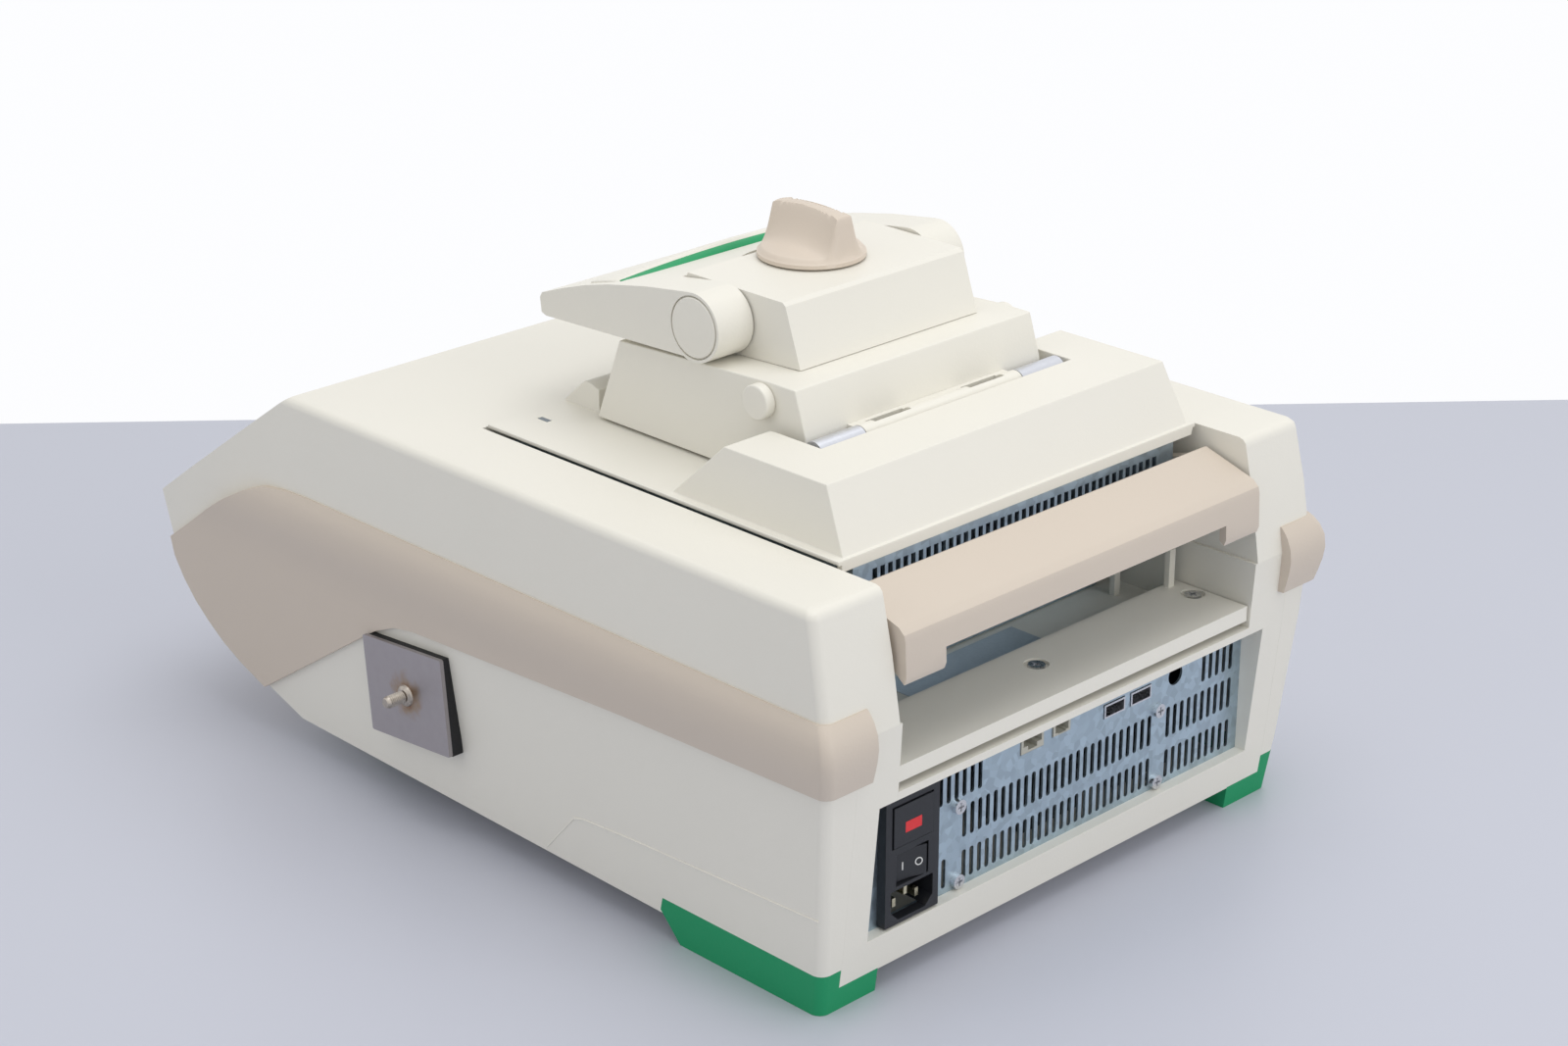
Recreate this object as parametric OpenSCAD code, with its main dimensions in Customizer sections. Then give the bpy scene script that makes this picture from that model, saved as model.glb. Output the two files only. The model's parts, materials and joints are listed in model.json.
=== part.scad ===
// Thermal cycler: a bench base with a slide-out sample module, a hinged heated lid with a latch
// lever and pressure knob, a rear lock bar, and a switched mains inlet on the rear panel.
// Millimetres. The origin is on the bench, under the middle of the case. +Y is the rear, +Z up.

/* [Case] */
// Half width of the case at its widest level
case_half_w = 161.5; // [150:0.5:180]
// Distance from the origin back to the rear face at its widest level
case_back = 233.5; // [225:0.5:260]
// Height of the flat top of the case
case_top = 188.5; // [186:0.5:192]
// Wall thickness of the mouldings
wall = 3; // [2:0.5:4]
// Radius of the upright rear corners
corner_r = 5.5; // [4:0.5:9]
// Radius of the edge between top and sides
top_round = 4.3; // [4.2:0.1:6]
// Height of the joint line between the two case shells at the rear
seam_z = 130.4; // [125:0.2:140]

/* [Side trim] */
// How far the middle of a trim band stands out from the case
trim_proud = 5.6; // [3:0.1:6]
// Depth of the pocket that a trim band sits in
trim_pocket = 1.6; // [1:0.1:2.5]

/* [Module bay] */
// Half width of the bay that the sample module slides into
bay_half_w = 119; // [118:0.5:124]
// Front wall of the bay
bay_front = -31.5; // [-40:0.5:-31]
// Height of the bay floor
deck_z = 98; // [90:1:98]
// Height of the rear tray on the bay floor
tray_z = 109; // [104:1:112]

/* [Rear panel] */
// Half width of the window in the rear frame
window_half_w = 128.5; // [125:0.5:132]
// Bottom of the window
window_low = 28.7; // [24:0.1:32]
// Top of the window
window_high = 94.1; // [90:0.1:94.5]
// Outer plane of the sheet metal panel
panel_y = 219.5; // [214:0.5:221]
// Width of one air slot
slot_w = 2.6; // [1.6:0.1:3.2]
// Pitch of the air slots
slot_pitch = 5; // [4:0.1:6]

/* [Module] */
// Half width of the module bezel
bezel_half_w = 116.5; // [114:0.5:117]
// Rear edge of the module bezel
bezel_back = 195; // [192:0.5:196]
// Height of the rear cover of the module
cover_z = 218; // [216:0.5:220]
// Centre of the sample block, front to rear
block_y = 62.3; // [60:0.1:65]
// Pitch of the sample wells
well_pitch = 9; // [8.9:0.01:9.1]
// Radius of a sample well at its mouth
well_r = 3.2; // [2.6:0.1:3.6]

/* [Lid] */
// Hinge axis of the lid, front to rear
hinge_y = 142.5; // [140:0.1:145]
// Height of the hinge axis
hinge_z = 213; // [211:0.1:214]
// Outer radius of the hinge tubes
hinge_r = 5.5; // [4.5:0.1:6]
// Half width of the lower lid shell
lid_half_w = 76; // [72:0.5:78]
// Half width of the upper lid shell
upper_half_w = 57; // [50:0.5:57]
// Height of the upper lid shell
upper_z = 266; // [262:0.5:268]

/* [Lever and knob] */
// Lever axis, front to rear
lever_y = 68.3; // [66:0.1:70]
// Height of the lever axis
lever_z = 251.6; // [250:0.1:253]
// Radius of the lever hubs
hub_r = 16; // [12:0.5:16]
// Outer half width of the lever
lever_half_w = 79; // [74:0.5:82]
// Radius of the knob
knob_r = 25; // [20:0.5:28]
// Height of the knob above the lid
knob_h = 23; // [18:0.5:26]

/* [Lock bar] */
// Pivot of the lock bar, front to rear
bar_pivot_y = 139.5; // [136:0.5:144]
// Height of the lock bar pivot
bar_pivot_z = 150; // [146:0.5:152]
// Radius of the lock bar pivot pins
bar_pin_r = 4; // [3:0.1:5]

/* [Anchor] */
// Length of the anchor plate along the case
anchor_w = 58; // [40:1:70]
// Height of the anchor plate
anchor_h = 48; // [36:1:56]
// Radius of the anchor stud
stud_r = 3; // [2.5:0.1:4]

/* [Hidden] */
$fn = 64;
eps = 0.01;
far = 400;
run_gap = 0.05;   // radial clearance of a pin in its bore
free_gap = 0.5;   // clearance between pieces that pass each other
case_low = 11.6;  // underside of the case at the rear
foot_step = 20.7; // top of the foot round the outside of the corner
foot_in = 119.5;  // inner end of a rear foot
foot_front = 124; // front of a rear foot at its top
frame_half_w = 143;
frame_front = 206;
band_wrap_x = 137; // where a trim band ends on the rear face
slope = atan2(case_top - 111.8, 236.6 - 126.8);

// Levels of the case wall: height, half width, rear face
wall_levels = concat(
  [[-40, case_half_w - 9.5, case_back - 12.5], [0, case_half_w - 8.5, case_back - 12],
   [29, case_half_w - 6, case_back - 8.1], [94, case_half_w - 1.6, case_back - 2],
   [seam_z, case_half_w, case_back], [160, case_half_w - 0.7, case_back - 5]],
  [for (a = [0:30:90])
    [case_top - top_round * (1 - sin(a)), case_half_w - 2 - top_round * (1 - cos(a)),
     case_back - 10.5 - top_round * (1 - cos(a))]]);

// Front of the case below its nose, a rounded chin, from the top down
front_curve = [[-231.2, 88], [-229.5, 78], [-223.5, 67], [-215.5, 57], [-206, 48.5], [-195, 40.5],
  [-182, 33.6], [-163, 26]];

// Outline of the case seen from its right side: rear distance, height
side_outline = concat([[-137.2, 16.4], [far, case_low - 3], [far, case_top], [-126.8, case_top],
  [-236.6, 111.8]], front_curve);

// Outline of a trim band, a broad leaf at the front that narrows to a stripe
band_outline = concat([[-114.8, 57], [-74.3, 83.2], [-63.9, 89.6], [-49, 96.2], [-34.7, 98.8],
  [0, 100.8], [111, 106.8], [far, 116.3], [far, 142.8], [-112, 142.8], [-130.4, 142],
  [-144.8, 140.1], [-157.9, 135], [-174.6, 126], [-194, 113.8]], front_curve);

// Area above the joint line of the two shells, which the bands hide
seam_line = [[-260, 72], [-228.9, 90], [-150, seam_z], [far, seam_z], [far, far], [-260, far]];

function edge_normal(p, q) = let (d = q - p) [d[1], -d[0]] / norm(d);
function inset(pts, d) = let (n = len(pts))
  [for (k = [0:n - 1])
    let (a = edge_normal(pts[(k + n - 1) % n], pts[k]), b = edge_normal(pts[k], pts[(k + 1) % n]))
    pts[k] - d * (a + b) / (1 + a * b)];

module along_x(x0, x1) translate([x0, 0, 0]) rotate([90, 0, 90]) linear_extrude(x1 - x0) children();
module along_y(y0, y1) translate([0, y1, 0]) rotate([90, 0, 0]) linear_extrude(y1 - y0) children();
module block(low, high) translate(low) cube(high - low);
module both_sides() { children(); mirror([1, 0, 0]) children(); }
module rod_x(x0, x1, y, z, r) translate([x0, y, z]) rotate([0, 90, 0]) cylinder(h = x1 - x0, r = r);
module rod_y(y0, y1, x, z, r) translate([x, y1, z]) rotate([90, 0, 0]) cylinder(h = y1 - y0, r = r);
module rod_z(z0, z1, x, y, r) translate([x, y, z0]) cylinder(h = z1 - z0, r = r);

// Upright walls of the case, drafted, with rounded rear corners: one prism for each heading
function support(level, heading) =
  abs(cos(heading)) * (level[1] - corner_r) + sin(heading) * (level[2] - corner_r) + corner_r;
module drafted_block(levels, i) {
  intersection_for (heading = [0:18:180])
    rotate([0, 0, heading])
      along_y(-2 * far, 2 * far)
        polygon(inset(concat([[-2 * far, case_top + 20], [-2 * far, -40]],
          [for (level = levels) [support(level, heading), level[0]]],
          [[support(levels[len(levels) - 1], heading) - 1, case_top + 20]]), i));
}
module wall_block(i) drafted_block(wall_levels, i);
module case_block(i) {
  intersection() {
    along_x(-far, far) polygon(inset(side_outline, i));
    wall_block(i);
  }
}
module bay(g) {
  block([-bay_half_w - g, bay_front - g, seam_z - g], [bay_half_w + g, far, far]);
  block([-bay_half_w + 1.5 - g, bay_front - g, deck_z - g], [bay_half_w - 1.5 + g, far, seam_z + 1]);
}
module above_seam() along_x(-far, far) polygon(seam_line);
module case_shell() {
  difference() {
    case_block(0);
    bay(0);
    difference() {
      case_block(wall);
      bay(wall);
    }
  }
}
// Bulge of a trim band over the wall at each height, as a share of its middle
band_bulge = [[-40, 0.4], [100, 0.43], [106, 0.5], [110.8, 0.6], [116, 0.78], [121, 0.93], [127, 1],
  [133, 0.93], [138, 0.7], [141, 0.42], [143, 0.14], [160, 0.14]];
band_levels = [for (b = band_bulge)
  [b[0], lookup(b[0], [for (level = wall_levels) [level[0], level[1]]]) + b[1] * trim_proud,
   lookup(b[0], [for (level = wall_levels) [level[0], level[2]]]) + b[1] * trim_proud]];
// Bands of the trim from a cut depth in the wall outwards
module trim_band(depth, proud, x_end) {
  difference() {
    intersection() {
      drafted_block(band_levels, -proud);
      along_x(x_end, far) polygon(band_outline);
    }
    intersection() {
      wall_block(depth);
      block([0, -far, 0], [far, far, far]);
    }
  }
}
module trim_pockets() both_sides() trim_band(trim_pocket, 2, band_wrap_x);
module foot_area() {
  along_x(foot_in, far) polygon([[foot_front + 12, -1], [far, -1], [far, case_low],
    [foot_front + 4, case_low]]);
  along_x(frame_half_w, far) polygon([[foot_front + 12, -1], [far, -1], [far, foot_step],
    [foot_front + 2, foot_step], [foot_front, 14]]);
}
module frame_area(g) {
  block([-frame_half_w - g, frame_front - g, 0], [frame_half_w + g, far, deck_z - wall + g]);
  both_sides() block([bay_half_w - 1.5, frame_front - g, 0], [frame_half_w + g, far, 112]);
}
module on_slope(lift) translate([0, -181.7, 150.15]) rotate([slope, 0, 0]) translate([0, 0,
  lift]) children();
module plate_2d(w, h, r) {
  square([w - 2 * r, h], center = true);
  square([w, h - 2 * r], center = true);
  for (sx = [-1, 1], sy = [-1, 1]) translate([sx * (w / 2 - r), sy * (h / 2 - r)]) circle(r);
}

// ---- Case ----
screen_w = 176;
screen_h = 100;
screen_rim = 10;
button_x = 128;
button_r = 8;
module upper_case() color([0.91, 0.9, 0.86]) difference() {
  intersection() {
    case_shell();
    above_seam();
  }
  trim_pockets();
  on_slope(-8) linear_extrude(20) plate_2d(screen_w + 2 * screen_rim, screen_h + 2 * screen_rim, 6);
  on_slope(-8) translate([button_x, 0, 0]) cylinder(h = 20, r = button_r + 0.3);
  both_sides() rod_x(bay_half_w - 1, bay_half_w + wall + 1, bar_pivot_y, bar_pivot_z, bar_pin_r + run_gap);
}
module lower_case() color([0.91, 0.9, 0.86]) difference() {
  difference() {
    case_shell();
    above_seam();
  }
  trim_pockets();
  both_sides() foot_area();
  frame_area(0);
  front_trim_area();
}
module rear_frame() color([0.91, 0.9, 0.86]) difference() {
  intersection() {
    case_block(0);
    union() {
      block([-frame_half_w, frame_front, 0], [frame_half_w, far, deck_z - wall]);
      both_sides() block([bay_half_w - 1.5, frame_front, 0], [frame_half_w, far, 112]);
    }
  }
  block([-frame_half_w - 1, 0, 20], [frame_half_w + 1, panel_y, window_high - 3]);
  along_y(150, far) plate_window();
  both_sides() block([bay_half_w + 1.5, 0, window_high], [frame_half_w + 1, case_back - 9, far]);
  trim_pockets();
  both_sides() foot_area();
}
module plate_window() polygon([[-window_half_w, window_low], [window_half_w, window_low],
  [window_half_w, window_high], [-window_half_w, window_high]]);

// ---- Trims ----
module side_trim() trim_band(trim_pocket, 0, band_wrap_x);
module side_trim_right() color([0.82, 0.77, 0.71]) difference() {
  side_trim();
  block([-1, -far, 0], [bay_half_w, far, far]);
}
module side_trim_left() mirror([1, 0, 0]) side_trim_right();
// Strip of the chin that the front trim covers, right through the wall
front_trim_depth = 4.5;
module front_trim_area() difference() {
  along_x(-far, far) polygon([[-260, 22], [-166, 22], [-158, 40], [-200, 90.5], [-260, 90.5]]);
  along_x(-far - 1, far + 1) polygon(inset(side_outline, front_trim_depth));
}
module front_trim() color([0.82, 0.77, 0.71]) difference() {
  intersection() {
    case_block(0);
    front_trim_area();
  }
  trim_pockets();
  above_seam();
}

// ---- Feet ----
module rear_foot_right() color([0.07, 0.59, 0.38]) difference() {
  intersection() {
    wall_block(0);
    foot_area();
    block([0, 0, 0], [far, far, foot_step]);
  }
  intersection() {
    case_block(wall);
    block([0, 0, case_low], [far, far, far]);
  }
}
module rear_foot_left() mirror([1, 0, 0]) rear_foot_right();
module front_feet() color([0.07, 0.59, 0.38]) both_sides() {
  intersection() {
    block([58, -122, 0], [116, -94, 30]);
    along_x(0, far) polygon([[-140, -1], [far, -1], [far, case_low - 3], [-137.2, 16.4]]);
  }
}

// ---- Rear panel ----
panel_t = 1.2;
inlet_x = 100.5;
inlet_half_w = 16.5;
inlet_low = 29.5;
inlet_high = 90;
module air_slot(x, z0, z1) {
  block([x - slot_w / 2, panel_y - 5, z0 + slot_w / 2], [x + slot_w / 2, panel_y + 1, z1 - slot_w / 2]);
  for (z = [z0 + slot_w / 2, z1 - slot_w / 2]) rod_y(panel_y - 5, panel_y + 1, x, z, slot_w / 2);
}
row_low = [31.5, 45.7];
row_high = [52, 67.5];
row_top = [72, 88];
module rear_panel() color([0.6, 0.66, 0.7]) difference() {
  block([-window_half_w - 4, panel_y - panel_t, window_low - 6], [window_half_w + 4, panel_y,
    window_high - 3.2]);
  for (k = [0:25], row = [row_low, row_high]) air_slot((k - 12.5) * slot_pitch, row[0], row[1]);
  for (k = [0:9], row = [row_low, row_high]) air_slot(-76 - k * slot_pitch, row[0], row[1]);
  for (k = [0:4]) air_slot(-101 - k * slot_pitch, row_top[0], row_top[1]);
  for (k = [0:5]) air_slot(53 + k * slot_pitch, row_top[0], row_top[1]);
  for (x = [75.5, 80]) air_slot(x, row_low[0], row_low[1]);
  for (x = usb_x) block([x - 7.4, panel_y - 5, 76.9], [x + 7.4, panel_y + 1, 84.1]);
  block([11.6, panel_y - 5, 78.4], [27.2, panel_y + 1, 90.6]);
  block([-6.1, panel_y - 5, 80], [6.1, panel_y + 1, 90.6]);
  rod_y(panel_y - 5, panel_y + 1, -80, 82.5, 5);
  block([inlet_x - inlet_half_w + 2, panel_y - 5, inlet_low + 2], [inlet_x + inlet_half_w - 2,
    panel_y + 1, inlet_high - 2]);
  for (x = [-67.5, 67.5], z = screw_z) rod_y(panel_y - 5, panel_y + 1, x, z, 1.6);
}
usb_x = [-36.5, -55];
screw_z = [32.6, 69];
module panel_screws() color([0.8, 0.8, 0.8]) for (x = [-67.5, 67.5], z = screw_z) difference() {
  union() {
    rod_y(panel_y, panel_y + 2.4, x, z, 3.4);
    rod_y(panel_y - 6, panel_y, x, z, 1.5);
  }
  block([x - 2, panel_y + 1.2, z - 0.45], [x + 2, panel_y + 3, z + 0.45]);
  block([x - 0.45, panel_y + 1.2, z - 2], [x + 0.45, panel_y + 3, z + 2]);
}

// ---- Mains inlet ----
inlet_face = panel_y + 5;
fuse_low = 66;
switch_low = 47.6;
switch_high = 62.8;
switch_half_w = 9.9;
socket_low = 31.5;
socket_high = 45.9;
module power_inlet() color([0.1, 0.1, 0.12]) difference() {
  union() {
    block([inlet_x - inlet_half_w, panel_y, inlet_low], [inlet_x + inlet_half_w, inlet_face, inlet_high]);
    block([inlet_x - inlet_half_w + 2.4, panel_y - 26, inlet_low + 2.4], [inlet_x + inlet_half_w - 2.4,
      panel_y, inlet_high - 2.4]);
  }
  block([inlet_x - 12.6, panel_y - 22, fuse_low], [inlet_x + 12.6, inlet_face + 1, inlet_high - 4]);
  block([inlet_x - switch_half_w, panel_y - 14, switch_low], [inlet_x + switch_half_w, inlet_face + 1,
    switch_high]);
  along_y(panel_y - 14, inlet_face + 1) polygon([[inlet_x - 12.9, socket_high], [inlet_x - 12.9, 36],
    [inlet_x - 8.4, socket_low], [inlet_x + 8.4, socket_low], [inlet_x + 12.9, 36], [inlet_x + 12.9,
      socket_high]]);
  rod_z(switch_low - 3, switch_high + 2.4, inlet_x, panel_y - 2, 1.5 + run_gap);
}
module inlet_pins() color([0.75, 0.72, 0.6]) for (p = [[-7, 37.5], [0, 41], [7, 37.5]])
  block([inlet_x + p[0] - 1, panel_y - 14, p[1] - 2], [inlet_x + p[0] + 1, panel_y + 1, p[1] + 2]);
module fuse_drawer() color([0.12, 0.12, 0.14]) difference() {
  block([inlet_x - 12.1, panel_y - 21, fuse_low + 0.5], [inlet_x + 12.1, inlet_face + 0.6,
    inlet_high - 4.5]);
  block([inlet_x - 9, panel_y - 18, fuse_low + 3], [inlet_x + 9, panel_y + 1, inlet_high]);
  block([inlet_x - 5, inlet_face, 72], [inlet_x + 5, inlet_face + 2, 77]);
}
module fuse_window() color([0.85, 0.15, 0.17])
  block([inlet_x - 5, inlet_face, 72], [inlet_x + 5, inlet_face + 0.5, 77]);
module power_switch() color([0.08, 0.08, 0.1]) {
  translate([inlet_x, panel_y - 2, switch_low + free_gap])
    linear_extrude(switch_high - switch_low - 2 * free_gap)
      polygon([[-7.8, 8], [0, 5.6], [9, 4.6], [8, -5], [-7, -5]]);
  rod_z(switch_low - 2.6, switch_high + 2, inlet_x, panel_y - 2, 1.5);
}

// ---- Sockets ----
module usb_ports() color([0.8, 0.8, 0.82]) for (x = usb_x) difference() {
  block([x - 7.1, panel_y - 16, 77.2], [x + 7.1, panel_y + 0.6, 83.8]);
  block([x - 6.3, panel_y - 13, 78], [x + 6.3, panel_y + 1, 79.4]);
  block([x - 6.3, panel_y - 13, 79.4], [x + 6.3, panel_y + 1, 83]);
}
module network_jack() color([0.75, 0.74, 0.68]) {
  difference() {
    block([12, panel_y - 18, 78.8], [26.8, panel_y + 0.4, 90.2]);
    block([13.4, panel_y - 14, 82], [25.4, panel_y + 1, 89]);
    block([16.4, panel_y - 14, 80], [22.4, panel_y + 1, 82.2]);
  }
  difference() {
    block([-5.7, panel_y - 16, 80.4], [5.7, panel_y + 0.6, 90.2]);
    block([-4.4, panel_y - 13, 81.6], [4.4, panel_y + 1, 89]);
    block([-2.6, panel_y - 13, 81], [2.6, panel_y + 1, 82]);
  }
}

// ---- Tray at the rear of the bay ----
tray_half_w = bay_half_w - 2.2;
tray_front = 187.5;
tray_back = 230.6;
tray_screw_x = 110;
tray_screw_y = 204;
module module_tray() color([0.9, 0.89, 0.85]) difference() {
  union() {
    block([-tray_half_w, tray_front, tray_z - 3], [tray_half_w, tray_back, tray_z]);
    block([-tray_half_w, tray_back - 3, tray_z - 7.5], [tray_half_w, tray_back, tray_z]);
    for (x = [-60, 60]) block([x - 1.5, tray_front, deck_z], [x + 1.5, frame_front - 1, tray_z - 1]);
    for (x = [-tray_screw_x, 0, tray_screw_x]) rod_z(deck_z, tray_z - 1, x, tray_screw_y - 5, 4.4);
    both_sides() block([101, 161.5, deck_z], [105, 164.5, deck_z + 22]);
    both_sides() block([107, 189, tray_z - 1], [111, 192, tray_z + 19]);
  }
  for (x = [-tray_screw_x, 0, tray_screw_x]) rod_z(tray_z - 1.6, tray_z + 1, x, tray_screw_y, 5.8);
}
module tray_screws() color([0.8, 0.8, 0.8]) for (x = [-tray_screw_x, 0, tray_screw_x]) difference() {
  rod_z(tray_z - 1.6, tray_z - 0.1, x, tray_screw_y, 4);
  block([x - 2.4, tray_screw_y - 0.5, tray_z - 1], [x + 2.4, tray_screw_y + 0.5, tray_z]);
  block([x - 0.5, tray_screw_y - 2.4, tray_z - 1], [x + 0.5, tray_screw_y + 2.4, tray_z]);
}
module rating_label() color([0.78, 0.79, 0.8])
  block([-40, 154, deck_z], [48, 182, deck_z + 0.3]);

// ---- Inside the base ----
// Inner face of the case floor, which rises slightly to the front
function floor_z(y) = 16.4 + (y + 137.2) * (case_low - 3 - 16.4) / (far + 137.2) + wall + 0.05;
module power_supply() color([0.6, 0.62, 0.64]) difference() {
  block([20, -60, floor_z(-60)], [130, 150, 74]);
  for (k = [0:9]) block([19, -40 + k * 18, 30], [26, -32 + k * 18, 60]);
}
module main_board() color([0.1, 0.35, 0.2]) {
  block([-130, -60, 40], [10, 150, 41.6]);
  for (x = [-125, 5], y = [-55, 145]) rod_z(floor_z(y - 3), 40, x, y, 3);
  block([-90, 20, 41.6], [-40, 70, 46]);
}
base_fan_y = 165;
module fan_frame(x, y, z, size, depth) difference() {
  block([x - size / 2, y, z - size / 2], [x + size / 2, y + depth, z + size / 2]);
  rod_y(y - 1, y + depth - 3, x, z, size / 2 - 2);
  difference() {
    rod_y(y + depth - 4, y + depth + 1, x, z, size / 2 - 2);
    rod_y(y + depth - 5, y + depth + 2, x, z, 9);
    for (a = [45, 135]) translate([x, y + depth, z]) rotate([0, a, 0]) cube([size, 10, 2.4], center = true);
  }
  rod_y(y + depth - 9, y + depth + 1, x, z, 2.5 + run_gap);
}
module fan_rotor(x, y, z, size, depth) {
  rod_y(y + 2, y + depth - 5, x, z, 10);
  rod_y(y + depth - 5 - eps, y + depth - 0.5, x, z, 2.5);
  for (a = [0:360 / 7:359]) translate([x, y + depth / 2 - 1.5, z]) rotate([0, a, 0])
    rotate([32, 0, 0]) translate([9, -1, -6]) cube([size / 2 - 12, 2, 12]);
}
base_fans = [-95, -30];
base_fan_z = 57;
base_fan = 60;
module base_fan_frames() color([0.12, 0.12, 0.13]) for (x = base_fans) {
  fan_frame(x, base_fan_y, base_fan_z, base_fan, 25);
  block([x - 20, base_fan_y, floor_z(base_fan_y)], [x + 20, base_fan_y + 25, base_fan_z - base_fan / 2]);
}
module base_fan_rotor_right() color([0.16, 0.16, 0.17]) fan_rotor(base_fans[1], base_fan_y, base_fan_z,
  base_fan, 25);
module base_fan_rotor_left() color([0.16, 0.16, 0.17]) fan_rotor(base_fans[0], base_fan_y, base_fan_z,
  base_fan, 25);
module base_connector() color([0.15, 0.15, 0.17]) difference() {
  block([-40, bay_front, deck_z], [40, bay_front + 6, deck_z + 26]);
  block([-36, bay_front + 1, deck_z + 10], [36, bay_front + 7, deck_z + 22]);
}

// ---- Front display ----
module display_bezel() color([0.3, 0.32, 0.34]) on_slope(-wall) difference() {
  union() {
    linear_extrude(wall + 0.6) plate_2d(screen_w + 2 * screen_rim - 0.4, screen_h + 2 * screen_rim - 0.4,
      6);
    translate([0, 0, -2]) linear_extrude(2) plate_2d(screen_w + 2 * screen_rim + 8,
      screen_h + 2 * screen_rim + 6, 6);
  }
  translate([0, 0, -5]) linear_extrude(20) plate_2d(screen_w, screen_h, 2);
}
module display_glass() color([0.04, 0.05, 0.07]) on_slope(-1.4) linear_extrude(1.6)
  plate_2d(screen_w - 0.4, screen_h - 0.4, 2);
module display_module() color([0.2, 0.22, 0.24]) on_slope(-13) linear_extrude(8 - eps)
  plate_2d(screen_w + 6, screen_h + 6, 2);
module standby_button() color([0.82, 0.83, 0.84]) on_slope(-7) translate([button_x, 0, 0]) {
  cylinder(h = 9, r = button_r);
  cylinder(h = 3, r = button_r + 2.5);
}

// ---- Anchor on the right side ----
anchor_y = -38.5;
anchor_z = 66;
pad_t = 3;
plate_t = 2;
pad_x = 160;
module on_anchor(x) translate([x, anchor_y, anchor_z]) rotate([5, 0, 0]) rotate([90, 0, 90]) children();
module anchor_pad() color([0.08, 0.08, 0.08]) difference() {
  on_anchor(pad_x - 3) linear_extrude(pad_t + 3) square([anchor_w, anchor_h], center = true);
  wall_block(0);
  trim_band(trim_pocket, trim_proud, band_wrap_x);
}
module anchor_plate() color([0.52, 0.5, 0.5]) on_anchor(pad_x + pad_t) linear_extrude(plate_t)
  plate_2d(anchor_w, anchor_h, 1);
module anchor_stud() color([0.6, 0.6, 0.6]) on_anchor(pad_x + pad_t + plate_t) {
  cylinder(h = 1.4, r1 = 5.5, r2 = stud_r);
  cylinder(h = 12, r = stud_r);
}

// ---- Module ----
flange_z = 188;
plate_low = flange_z + 2;
chassis_half_w = 105;
chassis_front = -25;
chassis_back = 192;
duct_z = 134;
fan_y = 122;
cover_front = hinge_y + 6.8;
mouth_half_w = 65;
mouth_half_d = 44;
catch_half_w = 70;
cover_hollow = [[cover_front + wall, flange_z - 1], [bezel_back - wall, flange_z - 1],
  [bezel_back - wall, flange_z + 2], [178.6, cover_z - wall], [cover_front + wall, cover_z - wall]];
cover_half_w = 112.5;
// Space between the wings of the cover, where the lid and its hinge lie
module lid_space() translate([0, 0, plate_low]) linear_extrude(60)
  polygon([[-96, 60], [96, 60], [81, 121.9], [81, cover_front], [-81, cover_front], [-81, 121.9]]);
module cover_body() {
  difference() {
    along_x(-cover_half_w, cover_half_w) polygon([[89.7, plate_low], [bezel_back - 1.4, plate_low],
      [180.4, cover_z], [119, cover_z], [114.9, 214]]);
    lid_space();
    both_sides() translate([cover_half_w, 0, plate_low]) rotate([0, -7, 0]) block([0, 0, -5], [40, far,
      60]);
    along_x(-(81 - wall), 81 - wall) polygon(cover_hollow);
  }
}
module module_bezel() color([0.91, 0.9, 0.86]) difference() {
  union() {
    block([-bezel_half_w, bay_front + 1, flange_z], [bezel_half_w, bezel_back, plate_low]);
    cover_body();
    along_x(-catch_half_w, catch_half_w) polygon([[-30, plate_low], [-6, plate_low], [-6, 201],
      [-12, 203], [-16, 203], [-30, 190.6]]);
    block([-bezel_half_w + 2, bezel_back - 3, 184.4], [bezel_half_w - 2, bezel_back, flange_z]);
  }
  block([-mouth_half_w, block_y - mouth_half_d, 180], [mouth_half_w, block_y + mouth_half_d, 195]);
  block([-81 + wall, cover_front + wall, 180], [81 - wall, bezel_back - wall, plate_low]);
  block([-catch_half_w + 3, -27, flange_z - 1], [catch_half_w - 3, -9, 199]);
  block([-22, -12, 193], [22, 1, 199]);
  block([92, -21, 180], [95, -14, 195]);
}
module status_light() color([0.3, 0.75, 0.5])
  block([92.1, -20.9, flange_z], [94.9, -14.1, plate_low - 0.2]);
module module_chassis() color([0.66, 0.68, 0.7]) {
  chassis_tub();
  sink_rails();
}
module chassis_tub() difference() {
  union() {
    block([-chassis_half_w, chassis_front, deck_z + free_gap], [chassis_half_w, 150, flange_z - eps]);
    block([-chassis_half_w, 100, duct_z], [chassis_half_w, chassis_back, 183]);
  }
  block([-chassis_half_w + 2, chassis_front + 2, deck_z + free_gap + 2], [chassis_half_w - 2, 148,
    flange_z + 1]);
  block([-chassis_half_w + 2, 100, duct_z + 2], [chassis_half_w - 2, chassis_back - 2, 190]);
  for (k = [0:39]) block([-93 + k * 4.7, chassis_back - 3, 172], [-90.2 + k * 4.7, chassis_back + 1, 179]);
  for (k = [0:39]) block([-93 + k * 4.7, chassis_back - 3, 142], [-90.2 + k * 4.7, chassis_back + 1, 166]);
  both_sides() for (k = [0:11]) block([chassis_half_w - 3, 0 + k * 9, 110], [chassis_half_w + 1,
    5 + k * 9, 140]);
  block([-38, chassis_front - 1, deck_z + 8], [38, chassis_front + 3, deck_z + 24]);
}
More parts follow.
